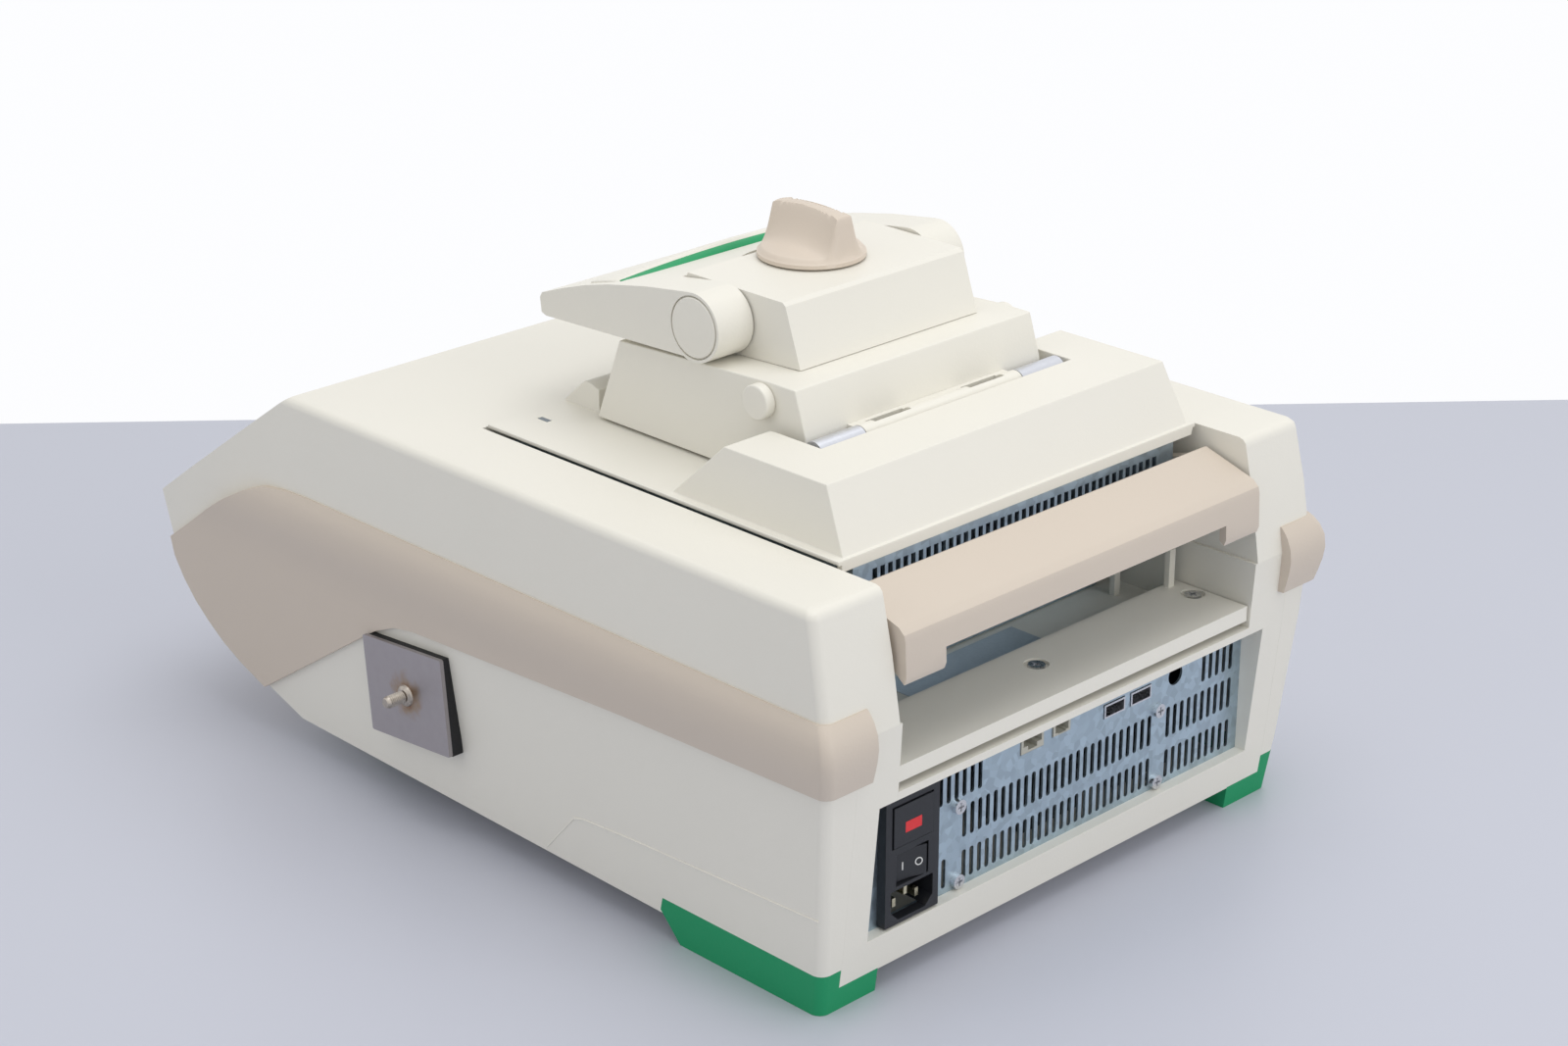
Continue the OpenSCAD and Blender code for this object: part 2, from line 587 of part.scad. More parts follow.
// Two rails on the chassis floor, under the heat sink
module sink_rails() both_sides() block([60, 5, deck_z + free_gap + 1.9], [66, 120, sink_low]);
block_half_w = 6 * well_pitch + 4;
block_half_d = 4 * well_pitch + 4;
block_top = 192;
block_low = 176;
pad_low = block_low - 4;
sink_low = 118;
module sample_block() color([0.8, 0.81, 0.82]) difference() {
  block([-block_half_w, block_y - block_half_d, block_low], [block_half_w, block_y + block_half_d,
    block_top]);
  for (i = [0:11], j = [0:7])
    translate([(i - 5.5) * well_pitch, block_y + (j - 3.5) * well_pitch, block_top - 12])
      cylinder(h = 12 + eps, r1 = 1.4, r2 = well_r, $fn = 24);
}
module thermoelectric_modules() color([0.9, 0.9, 0.88]) for (x = [-37, 0, 37])
  block([x - 17, block_y - 36, pad_low], [x + 17, block_y + 36, block_low]);
module heat_sink() color([0.7, 0.71, 0.73]) difference() {
  block([-66, 5, sink_low], [66, 120, pad_low]);
  for (k = [0:20]) block([-63.5 + k * 6.1, 4, sink_low - 1], [-59.9 + k * 6.1, 121, pad_low - 9]);
}
module block_seal() color([0.25, 0.26, 0.28]) difference() {
  block([-mouth_half_w + 0.4, block_y - mouth_half_d + 0.4, block_top - 5], [mouth_half_w - 0.4,
    block_y + mouth_half_d - 0.4, block_top - 2.4]);
  block([-block_half_w, block_y - block_half_d, 180], [block_half_w, block_y + block_half_d, far]);
}
module_fans = [-35, 35];
module_fan = 60;
module_fan_z = sink_low + 25;
module module_fan_frames() color([0.12, 0.12, 0.13]) for (x = module_fans) {
  fan_frame(x, fan_y, module_fan_z, module_fan, 25);
  block([x - 20, fan_y, deck_z + free_gap + 2], [x + 20, fan_y + 25, module_fan_z - module_fan / 2]);
}
module module_fan_rotor_right() color([0.16, 0.16, 0.17]) fan_rotor(module_fans[1], fan_y, module_fan_z,
  module_fan, 25);
module module_fan_rotor_left() color([0.16, 0.16, 0.17]) fan_rotor(module_fans[0], fan_y, module_fan_z,
  module_fan, 25);
module module_connector() color([0.15, 0.15, 0.17]) {
  block([-34, bay_front + 1.6, deck_z + 11.5], [34, chassis_front + 2, deck_z + 20.5]);
  block([-37, chassis_front + 2, deck_z + 9], [37, chassis_front + 12, deck_z + 23]);
}
module module_board() color([0.1, 0.35, 0.2]) {
  both_sides() block([80, 0, deck_z + 8], [81.6, 110, 176]);
  both_sides() block([78, 20, deck_z + free_gap + 2], [83, 90, deck_z + 8]);
}

// ---- Lid hinge ----
tube_in = 51;
tube_out = 78.7;
module hinge_tubes() color([0.8, 0.81, 0.82]) {
  both_sides() {
    rod_x(tube_in, tube_out, hinge_y, hinge_z, hinge_r);
    block([tube_in + 1, hinge_y - 2, plate_low], [tube_out - 1, hinge_y + 2, hinge_z - hinge_r + 0.6]);
    rod_x(tube_in - 9, tube_in, hinge_y, hinge_z, 2.5);
  }
}
module hinge_leaf() color([0.91, 0.9, 0.86]) difference() {
  union() {
    rod_x(-tube_in + 0.5, tube_in - 0.5, hinge_y, hinge_z, hinge_r);
    block([-tube_in + 0.5, lid_back, hinge_z - 1], [tube_in - 0.5, hinge_y, hinge_z + 4]);
  }
  rod_x(-tube_in - 1, tube_in + 1, hinge_y, hinge_z, 2.5 + run_gap);
  both_sides() block([19, hinge_y - 5, hinge_z - 8], [42, hinge_y + 1, hinge_z + 8]);
}

// ---- Lid ----
lid_back = 135;
lid_low = 191.3;
lid_outline = [[-0.3, lid_low], [lid_back, lid_low], [lid_back, 216.8], [128.4, 237.1],
  [112, 237.1], [15.6, 232.1]];
upper_low = 237.4;
upper_outline = [[36, 233.2], [112.7, upper_low], [103.4, upper_z - 1.5], [101.5, upper_z],
  [36, upper_z]];
web_r = 31.4;
lid_r = 30.7;
module lid_shell_lower() color([0.91, 0.9, 0.86]) difference() {
  along_x(-lid_half_w, lid_half_w) polygon(lid_outline);
  along_x(-lid_half_w + wall, lid_half_w - wall) polygon(concat([[3, 180], [lid_back - wall, 180]],
    [[lid_back - wall, 216.4], [126.2, 234], [112, 234], [17.9, 229]]));
  rod_z(220, 260, 0, block_y, screw_bush_r + 0.5);
  both_sides() rod_x(lid_half_w - 2, lid_half_w + 10, 109, 228, 4);
  block([-hook_half_w - hook_gap, -5, 180], [hook_half_w + hook_gap, 14, 215]);
}
screw_bush_r = 9;
module lid_shell_upper() color([0.91, 0.9, 0.86]) difference() {
  intersection() {
    along_x(-upper_half_w, upper_half_w) polygon(upper_outline);
    union() {
      rod_x(-far, far, lever_y, lever_z, lid_r);
      block([-far, lever_y, 0], [far, far, far]);
    }
  }
  difference() {
    along_x(-upper_half_w + wall, upper_half_w - wall) polygon([[36, 200], [118, 200], [109.6, upper_low],
      [100.4, upper_z - wall], [36, upper_z - wall]]);
    difference() {
      rod_x(-far, far, lever_y, lever_z, lid_r + 10);
      rod_x(-far, far, lever_y, lever_z, lid_r - wall);
      block([-far, lever_y - 10, 0], [far, far, far]);
    }
  }
  under_roof();
  rod_z(upper_z - 5, upper_z + 5, 0, block_y, screw_r + run_gap);
  both_sides() rod_x(upper_half_w - wall - 1, upper_half_w + 1, lever_y, lever_z, lever_pin_r + run_gap);
}
// Top slope of the lower shell, which the upper shell stands on
module under_roof() along_x(-far, far) polygon([[0, 100], [140, 100], [140, 237.15], [112, 237.15],
  [15.6, 232.15], [0, 232.15]]);
lever_pin_r = 5;
screw_r = 5;
module side_caps() color([0.91, 0.9, 0.86]) both_sides() {
  rod_x(lid_half_w, lid_half_w + 5.5, 109, 228, 8);
  rod_x(lid_half_w - 2, lid_half_w, 109, 228, 4);
}
hook_half_w = 18;
hook_gap = 0.4;
module latch_hook() color([0.75, 0.75, 0.77]) {
  block([-hook_half_w, 1, 194], [hook_half_w, 4, 214]);
  block([-hook_half_w, -5.5, 194], [hook_half_w, 1, 197]);
  block([-hook_half_w, 4, 211], [hook_half_w, 10, 214]);
}

// ---- Lever ----
cheek_in = upper_half_w + 1;
module lid_lever() color([0.91, 0.9, 0.86]) difference() {
  union() {
    difference() {
      along_x(-lever_half_w, lever_half_w) polygon(concat(lever_base_run, lever_top_run));
      along_x(-lever_half_w + 4, lever_half_w - 4) polygon([[-31.5, 220], [90, 220], [90, 262.4], [38,
        260.4], [12.3, 255.4],
        [-4, 251.2], [-20, 246], [-31.5, 241.6]]);
      rod_x(-cheek_in, cheek_in, lever_y, lever_z, web_r);
      block([-cheek_in, 39, 200], [cheek_in, far, far]);
    }
    both_sides() rod_x(cheek_in, lever_half_w, lever_y, lever_z, hub_r);
    both_sides() rod_x(upper_half_w - wall - 2, cheek_in + 1, lever_y, lever_z, lever_pin_r);
    both_sides() along_x(cheek_in, lever_half_w - 4 + eps) polygon(concat(lever_base_run, lever_top_run));
  }
  rod_z(200, far, 0, block_y, knob_r + 8);
  insert_area();
  both_sides() rod_x(lever_half_w - 1.6, lever_half_w + 1, lever_y, lever_z, hub_r - 1.4);
}
lever_base_run = [[-35.5, 241.5], [-34.6, 234.4], [-31.5, 233.3], [lever_y + 3, lever_z - hub_r + 1.8]];
lever_top_run = [[lever_y + 1, lever_z + hub_r], [lever_y - 3, lever_z + hub_r - 0.2], [38, 263.6],
  [12.3, 258.6], [-4, 254.4],
  [-20, 249.2], [-34, 244]];
insert_y = 9;
module insert_area() intersection() {
  along_x(-74, 74) polygon([[insert_y - 2.5, 250], [insert_y + 5, 250], [insert_y + 5, 270],
    [insert_y - 2.5, 270]]);
  along_x(-far, far) polygon([[0, 254.8], [40, 261.4], [40, 280], [0, 280]]);
}
module lever_insert() color([0.07, 0.6, 0.36]) intersection() {
  insert_area();
  along_x(-far, far) polygon([[-10, 240], [40, 240], [40, 265.6], [-4, 256.2]]);
}
module lever_caps() color([0.91, 0.9, 0.86]) both_sides()
  rod_x(lever_half_w - 1.6, lever_half_w + 0.8, lever_y, lever_z, hub_r - 1.6);

// ---- Knob, clamp screw and heated plate ----
knob_low = upper_z + 1;
module pressure_knob() color([0.82, 0.77, 0.71]) {
  difference() {
    translate([0, block_y, knob_low]) rotate_extrude() polygon([[0, 0], [knob_r, 0], [knob_r, 2.2],
      [knob_r - 1.6, 4], [18, 5.4], [11, 8], [6, 12], [0, 13]]);
    rod_z(0, knob_low + 2, 0, block_y, screw_r);
  }
  intersection() {
    along_y(block_y - knob_r + 2, block_y + knob_r - 1) polygon([[-7, knob_low + 3], [7, knob_low + 3],
      [5, knob_low + 12], [4.2, knob_low + knob_h], [-4.2, knob_low + knob_h], [-5, knob_low + 12]]);
    along_x(-10, 10) polygon([[block_y - 23.5, knob_low + 3], [block_y + 24, knob_low + 3],
      [block_y + 24, knob_low + 17],
      [block_y + 20, knob_low + knob_h - 1], [block_y + 12, knob_low + knob_h], [block_y - 12,
        knob_low + knob_h], [block_y - 20, knob_low + knob_h - 2],
      [block_y - 23.5, knob_low + 16]]);
  }
}
heater_low = 206;
heater_top = 214;
hub_top = heater_top + 12;
screw_low = heater_top + 5;
module clamp_screw() color([0.75, 0.75, 0.77]) rod_z(screw_low, knob_low + 2, 0, block_y, screw_r);
module heated_plate() color([0.72, 0.73, 0.75])
  block([-60, block_y - 40, heater_low], [60, block_y + 40, heater_top]);
module plate_carrier() color([0.25, 0.26, 0.28]) difference() {
  union() {
    block([-62, block_y - 42, heater_top], [62, block_y + 42, heater_top + 3]);
    rod_z(heater_top, hub_top, 0, block_y, screw_r + 3);
  }
  rod_z(heater_top + 1.5, hub_top + 1, 0, block_y, screw_r + run_gap);
}

// ---- Lock bar ----
arm_in = bezel_half_w - 6;
bar_half_w = bezel_half_w + 0.2;
bar_end = 92.6;
module lock_bar() color([0.82, 0.77, 0.71]) {
  difference() {
    along_x(-bar_half_w, bar_half_w) polygon([[199.6, 172.6], [233.2, 147], [234.4, 150], [233.6, 166],
      [232.8, 169],
      [229.6, 171.8], [202, 180.2], [199.6, 179]]);
    along_x(-bar_half_w + 4, bar_half_w - 4) polygon([[190, 140], [230.8, 140], [230.2, 166.6], [228.6,
      168.8], [202, 177], [190, 178]]);
    block([-bar_end, 190, 120], [bar_end, far, 157]);
  }
  both_sides() {
    along_x(arm_in, bar_half_w) polygon([[bar_pivot_y - 7, bar_pivot_z - 6], [bar_pivot_y + 8,
      bar_pivot_z - 6], [204, 160], [232, 150], [230, 168],
      [204, 178], [bar_pivot_y, bar_pivot_z + 8], [bar_pivot_y - 7, bar_pivot_z + 4]]);
    rod_x(arm_in, bay_half_w + wall - 0.5, bar_pivot_y, bar_pivot_z, bar_pin_r);
  }
}

lower_case();
upper_case();
rear_frame();
side_trim_right();
side_trim_left();
front_trim();
rear_foot_right();
rear_foot_left();
front_feet();
rear_panel();
panel_screws();
power_inlet();
inlet_pins();
fuse_drawer();
fuse_window();
power_switch();
usb_ports();
network_jack();
module_tray();
tray_screws();
rating_label();
power_supply();
main_board();
base_fan_frames();
base_fan_rotor_right();
base_fan_rotor_left();
base_connector();
display_bezel();
display_glass();
display_module();
standby_button();
anchor_pad();
anchor_plate();
anchor_stud();
module_bezel();
status_light();
module_chassis();
sample_block();
thermoelectric_modules();
heat_sink();
block_seal();
module_fan_frames();
module_fan_rotor_right();
module_fan_rotor_left();
module_connector();
module_board();
hinge_tubes();
hinge_leaf();
lid_shell_lower();
lid_shell_upper();
side_caps();
latch_hook();
lid_lever();
lever_insert();
lever_caps();
pressure_knob();
clamp_screw();
heated_plate();
plate_carrier();
lock_bar();
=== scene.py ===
"""Looks of the bench thermal cycler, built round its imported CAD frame. Metres, +Y to the rear."""
import json
from math import cos, pi, radians, sin

import bmesh
import bpy
from mathutils import Matrix, Vector


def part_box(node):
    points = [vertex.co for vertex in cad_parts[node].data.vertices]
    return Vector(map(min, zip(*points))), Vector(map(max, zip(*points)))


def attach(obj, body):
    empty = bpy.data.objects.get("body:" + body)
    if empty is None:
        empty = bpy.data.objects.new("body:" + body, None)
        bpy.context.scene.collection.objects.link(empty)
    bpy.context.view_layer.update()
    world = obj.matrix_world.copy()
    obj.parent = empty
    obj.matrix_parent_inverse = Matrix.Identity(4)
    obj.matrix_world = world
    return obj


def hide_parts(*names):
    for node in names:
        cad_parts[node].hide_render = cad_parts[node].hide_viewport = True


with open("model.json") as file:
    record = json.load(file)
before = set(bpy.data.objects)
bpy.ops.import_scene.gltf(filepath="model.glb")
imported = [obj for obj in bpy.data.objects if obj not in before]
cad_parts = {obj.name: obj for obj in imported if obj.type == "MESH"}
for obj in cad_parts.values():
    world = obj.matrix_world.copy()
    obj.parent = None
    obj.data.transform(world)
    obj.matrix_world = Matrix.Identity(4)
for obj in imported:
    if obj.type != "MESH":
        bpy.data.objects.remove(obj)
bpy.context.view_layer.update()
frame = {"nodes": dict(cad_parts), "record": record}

# ---- Camera -------------------------------------------------------------------------------------
# A short telephoto lens at standing height, behind the right rear corner of the instrument.
camera_data = bpy.data.cameras.new("camera")
camera_data.sensor_width = 36
camera_data.lens = 72.43
camera = bpy.data.objects.new("camera", camera_data)
bpy.context.scene.collection.objects.link(camera)
camera.location = (0.9682, 1.0295, 0.6996)
aim = Vector((0, 0.0445, 0.12945))
camera.rotation_euler = (aim - camera.location).to_track_quat("-Z", "Y").to_euler()
bpy.context.scene.camera = camera
bpy.context.scene.view_settings.view_transform = "Standard"

# ---- Table and studio light ---------------------------------------------------------------------
# A pale blue-grey table top whose far edge stands against a white studio wall, lit by one large
# soft box overhead, a broad fill behind the camera and an even white surround.
def srgb(red, green, blue):
    """Display values from 0 to 255 as a linear colour."""
    parts = [channel / 255 for channel in (red, green, blue)]
    return [c / 12.92 if c <= 0.04045 else ((c + 0.055) / 1.055) ** 2.4 for c in parts] + [1.0]


def new_material(name):
    """An empty node material and its output node."""
    material = bpy.data.materials.new(name)
    material.use_nodes = True
    tree = material.node_tree
    tree.nodes.clear()
    return material, tree, tree.nodes.new("ShaderNodeOutputMaterial")


def add_piece(name, mesh_edit, body):
    """A new mesh object made from a bmesh, riding on a body when one is given."""
    mesh = bpy.data.meshes.new(name)
    mesh_edit.to_mesh(mesh)
    mesh_edit.free()
    piece = bpy.data.objects.new(name, mesh)
    bpy.context.scene.collection.objects.link(piece)
    if body:
        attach(piece, body)
    return piece


away = (aim - camera.location)
away.z = 0
away.normalize()
across = Vector((away.y, -away.x, 0))
table_edge = Vector((camera.location.x, camera.location.y, 0)) + away * 1.86
bm = bmesh.new()
corners = [bm.verts.new(p) for p in (
    table_edge - across * 2.5 - away * 0.09, table_edge + across * 2.5 + away * 0.13,
    table_edge + across * 2.5 - away * 4, table_edge - across * 2.5 - away * 4)]
bm.faces.new(reversed(corners))
table = add_piece("table_top", bm, None)
material, tree, output = new_material("table_laminate")
surface = tree.nodes.new("ShaderNodeBsdfPrincipled")
surface.inputs["Base Color"].default_value = srgb(196, 199, 211)
surface.inputs["Roughness"].default_value = 0.42
tree.links.new(surface.outputs[0], output.inputs["Surface"])
table.data.materials.append(material)

world = bpy.data.worlds.new("studio")
bpy.context.scene.world = world
world.use_nodes = True
sky = world.node_tree
sky.nodes.clear()
sky_output = sky.nodes.new("ShaderNodeOutputWorld")
lit = sky.nodes.new("ShaderNodeBackground")
lit.inputs["Color"].default_value = (1.0, 1.0, 1.0, 1)
lit.inputs["Strength"].default_value = 0.62
seen = sky.nodes.new("ShaderNodeBackground")
seen.inputs["Color"].default_value = (0.98, 0.985, 1.0, 1)
seen.inputs["Strength"].default_value = 1.0
rays = sky.nodes.new("ShaderNodeLightPath")
glossy_too = sky.nodes.new("ShaderNodeMath")
glossy_too.operation = "MAXIMUM"
clear_too = sky.nodes.new("ShaderNodeMath")
clear_too.operation = "MAXIMUM"
choose = sky.nodes.new("ShaderNodeMixShader")
sky.links.new(rays.outputs["Is Camera Ray"], glossy_too.inputs[0])
sky.links.new(rays.outputs["Is Glossy Ray"], glossy_too.inputs[1])
sky.links.new(glossy_too.outputs[0], clear_too.inputs[0])
sky.links.new(rays.outputs["Is Transmission Ray"], clear_too.inputs[1])
sky.links.new(clear_too.outputs[0], choose.inputs["Fac"])
sky.links.new(lit.outputs[0], choose.inputs[1])
sky.links.new(seen.outputs[0], choose.inputs[2])
sky.links.new(choose.outputs[0], sky_output.inputs["Surface"])

for name, place, size, watts in (
        ("overhead_box", (-0.1, 0.15, 1.9), 1.6, 13.5),
        ("right_box", (1.9, -0.3, 1.2), 1.2, 3),
        ("rear_fill", (-0.2, 2.0, 1.0), 1.2, 9.5)):
    lamp = bpy.data.lights.new(name, "AREA")
    lamp.size = size
    lamp.energy = watts
    box = bpy.data.objects.new(name, lamp)
    box.location = place
    box.rotation_euler = (aim - box.location).to_track_quat("-Z", "Y").to_euler()
    bpy.context.scene.collection.objects.link(box)

# ---- Case mouldings -----------------------------------------------------------------------------
# Cream ABS shells with the fine spark-eroded grain of an injection mould. Every edge has the
# small radius that the tool leaves, and the colour drifts a little where the plastic has aged.
grain = bpy.data.node_groups.new("moulded_grain", "ShaderNodeTree")
for socket, kind, way in (("Color", "NodeSocketColor", "INPUT"), ("Pitch", "NodeSocketFloat", "INPUT"),
                          ("Depth", "NodeSocketFloat", "INPUT"), ("Roughness", "NodeSocketFloat", "INPUT"),
                          ("Color", "NodeSocketColor", "OUTPUT"), ("Roughness", "NodeSocketFloat", "OUTPUT"),
                          ("Normal", "NodeSocketVector", "OUTPUT")):
    grain.interface.new_socket(socket, in_out=way, socket_type=kind)
given = grain.nodes.new("NodeGroupInput")
made = grain.nodes.new("NodeGroupOutput")
place = grain.nodes.new("ShaderNodeTexCoord")
spark = grain.nodes.new("ShaderNodeTexNoise")
spark.inputs["Detail"].default_value = 3
spark.inputs["Roughness"].default_value = 0.65
lift = grain.nodes.new("ShaderNodeBump")
lift.inputs["Distance"].default_value = 0.0002
drift = grain.nodes.new("ShaderNodeTexNoise")
drift.inputs["Scale"].default_value = 9
drift.inputs["Detail"].default_value = 2
tint = grain.nodes.new("ShaderNodeMapRange")
tint.inputs["To Min"].default_value = 0.975
tint.inputs["To Max"].default_value = 1.02
shade = grain.nodes.new("ShaderNodeMix")
shade.data_type = "RGBA"
shade.blend_type = "MULTIPLY"
shade.inputs["Factor"].default_value = 1
gloss = grain.nodes.new("ShaderNodeMapRange")
gloss.inputs["To Min"].default_value = -0.05
gloss.inputs["To Max"].default_value = 0.05
rough = grain.nodes.new("ShaderNodeMath")
rough.operation = "ADD"
for start, end in (
        (place.outputs["Object"], spark.inputs["Vector"]), (given.outputs["Pitch"], spark.inputs["Scale"]),
        (spark.outputs["Fac"], lift.inputs["Height"]), (given.outputs["Depth"], lift.inputs["Strength"]),
        (place.outputs["Object"], drift.inputs["Vector"]), (drift.outputs["Fac"], tint.inputs["Value"]),
        (given.outputs["Color"], shade.inputs[6]), (tint.outputs["Result"], shade.inputs[7]),
        (spark.outputs["Fac"], gloss.inputs["Value"]), (gloss.outputs["Result"], rough.inputs[0]),
        (given.outputs["Roughness"], rough.inputs[1]), (shade.outputs[2], made.inputs["Color"]),
        (rough.outputs[0], made.inputs["Roughness"]), (lift.outputs["Normal"], made.inputs["Normal"])):
    grain.links.new(start, end)


def moulded(name, color, pitch=900, depth=0.28, roughness=0.46):
    """A moulded plastic or rubber with its own colour and grain."""
    material, tree, output = new_material(name)
    surface = tree.nodes.new("ShaderNodeBsdfPrincipled")
    texture = tree.nodes.new("ShaderNodeGroup")
    texture.node_tree = grain
    texture.inputs["Color"].default_value = color
    texture.inputs["Pitch"].default_value = pitch
    texture.inputs["Depth"].default_value = depth
    texture.inputs["Roughness"].default_value = roughness
    tree.links.new(texture.outputs["Color"], surface.inputs["Base Color"])
    tree.links.new(texture.outputs["Roughness"], surface.inputs["Roughness"])
    tree.links.new(texture.outputs["Normal"], surface.inputs["Normal"])
    tree.links.new(surface.outputs[0], output.inputs["Surface"])
    return material


def bevelled_copy(node, radius, segments, only_long):
    """A welded copy of a CAD node with its hard edges bevelled, and how far its faces overlap."""
    bm = bmesh.new()
    bm.from_mesh(frame["nodes"][node].data)
    bmesh.ops.remove_doubles(bm, verts=bm.verts, dist=1e-5)
    bmesh.ops.dissolve_limit(bm, angle_limit=radians(0.6), verts=bm.verts, edges=bm.edges)
    hard = [e for e in bm.edges if e.is_manifold and e.calc_face_angle(0) > radians(26)]
    if only_long:
        hard = [e for e in hard if e.calc_length() > 3 * radius]
        tight = {v for e in hard for v in e.verts if min(k.calc_length() for k in v.link_edges) < 2.2 * radius}
        hard = [e for e in hard if not tight.intersection(e.verts)]
    if radius:
        bmesh.ops.bevel(bm, geom=hard, offset=radius, offset_type="OFFSET", segments=segments,
                        profile=0.5, affect="EDGES", clamp_overlap=True, material=-1)
    flat_area = sum(face.calc_area() for face in bm.faces)
    bmesh.ops.triangulate(bm, faces=[f for f in bm.faces if len(f.verts) > 4])
    return bm, abs(sum(face.calc_area() for face in bm.faces) / flat_area - 1)


def rounded(node, radius, material, segments=3):
    """A CAD node with rounded edges, in the node's place: the largest radius that leaves its faces
    sound is used."""
    for share, only_long in ((1, False), (1, True), (0.6, False), (0.6, True), (0.35, False),
                             (0.35, True), (0.2, False), (0.2, True), (0, False)):
        bm, fault = bevelled_copy(node, radius * share, segments, only_long)
        if fault < 2e-4:
            break
        bm.free()
    for face in bm.faces:
        face.smooth = True
    for edge in bm.edges:
        edge.smooth = not (edge.is_manifold and edge.calc_face_angle(0) > radians(36))
    body = next(b for b, names in frame["record"]["behaviour"]["bodies"].items() if node in names)
    piece = add_piece(node + "_moulding", bm, body)
    piece.data.materials.append(material)
    weighted = piece.modifiers.new("weighted", "WEIGHTED_NORMAL")
    weighted.keep_sharp = True
    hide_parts(node)
    return piece


cream = moulded("cream_abs", srgb(233, 230, 220))
for node in ("lower_case", "upper_case", "rear_frame", "module_tray"):
    rounded(node, 0.0007, cream)

# ---- Trim bands and chin ------------------------------------------------------------------------
# Beige bands that snap into pockets in both shells. Their outer edges have a large radius, so
# the band reads as a soft roll round the case.
beige = moulded("beige_abs", srgb(209, 197, 183), depth=0.3, roughness=0.5)
for node in ("side_trim_right", "side_trim_left"):
    rounded(node, 0.0022, beige, segments=5)
rounded("front_trim", 0.0005, beige)

# ---- Side rib ----
# A fine moulded rib on the lower right side of the case, where the tool's lower slide parts.
rib_path = [(0.0479, 0.0160), (0.0697, 0.0393), (0.0760, 0.0410), (0.1072, 0.0433), (0.1700, 0.0464),
            (0.2240, 0.0491)]


def side_wall(z):
    """Half width of the case wall at a height."""
    return 0.1530 + 0.0025 * z / 0.029 if z < 0.029 else 0.1555 + 0.0044 * (z - 0.029) / 0.065


curve = bpy.data.curves.new("side_rib", "CURVE")
curve.dimensions = "3D"
curve.bevel_depth = 0.00045
curve.bevel_resolution = 3
curve.use_fill_caps = True
run = curve.splines.new("POLY")
run.points.add(len(rib_path) - 1)
for point, (y, z) in zip(run.points, rib_path):
    point.co = (side_wall(z), y, z, 1)
holder = bpy.data.objects.new("side_rib_path", curve)
bpy.context.scene.collection.objects.link(holder)
bm = bmesh.new()
bm.from_mesh(holder.to_mesh())
holder.to_mesh_clear()
bpy.data.objects.remove(holder)
for face in bm.faces:
    face.smooth = True
rib = add_piece("side_rib", bm, "base")
rib.data.materials.append(cream)

# ---- Feet ---------------------------------------------------------------------------------------
# Green rubber corner feet and front pads, moulded matt and a little dusty.
green_rubber = moulded("green_rubber", srgb(6, 148, 96), pitch=600, depth=0.35, roughness=0.62)
for node in ("rear_foot_right", "rear_foot_left", "front_feet"):
    rounded(node, 0.001, green_rubber)

# ---- Module bezel and lid -----------------------------------------------------------------------
# The bezel, its rear cover and the two lid shells come from the same cream ABS as the case.
for node, radius in (("module_bezel", 0.0009), ("lid_shell_lower", 0.003), ("lid_shell_upper", 0.003),
                     ("hinge_leaf", 0.0004), ("side_caps", 0.0009), ("lid_lever", 0.0012)):
    rounded(node, radius, cream)

# ---- Lever lip, insert and hub caps -------------------------------------------------------------
# The lip across the lever is crowned towards the middle. A green moulded strip fills the rear
# face of the crown as a crescent, and a domed cap closes each hub, with a fine gap round it.
insert_low, insert_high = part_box("lever_insert")
lip_half = (insert_high[0] - insert_low[0]) / 2
lip_y = insert_high[1]
lip_z = insert_low[2] + 0.0036
lip_rise = 0.0042


def crest(name, front, rear, top_share, lift, half, material):
    """A crowned strip across the lever: along x it rises from nothing to its full height."""
    bm = bmesh.new()
    bmesh.ops.create_grid(bm, x_segments=48, y_segments=8, size=1)
    for vert in bm.verts:
        along, over = vert.co.x, (vert.co.y + 1) / 2
        crown = 1 - along ** 2
        y = front + (rear - front) * over
        hump = sin(pi * min(1, over / top_share) / 2) if over < top_share else cos(
            pi / 2 * ((over - top_share) / (1 - top_share)) ** 1.5)
        base = lip_z - 0.0012 + (y - lip_y) * 0.19
        vert.co = (along * half, y, base + lift * crown + (lip_rise * crown + 0.0008) * hump)
    bmesh.ops.solidify(bm, geom=bm.faces[:] + bm.edges[:] + bm.verts[:], thickness=0.0009)
    bmesh.ops.recalc_face_normals(bm, faces=bm.faces)
    for face in bm.faces:
        face.smooth = True
    strip = add_piece(name, bm, "lever")
    strip.data.materials.append(material)
    return strip


lip = crest("lever_lip", lip_y - 0.019, lip_y - 0.0005, 0.78, 0, lip_half, cream)
green_abs = moulded("green_abs", srgb(8, 150, 92), roughness=0.4)
insert = crest("lever_crescent", lip_y - 0.0065, lip_y + 0.0022, 0.3, -0.0013, lip_half * 0.97, green_abs)
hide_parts("lever_insert")

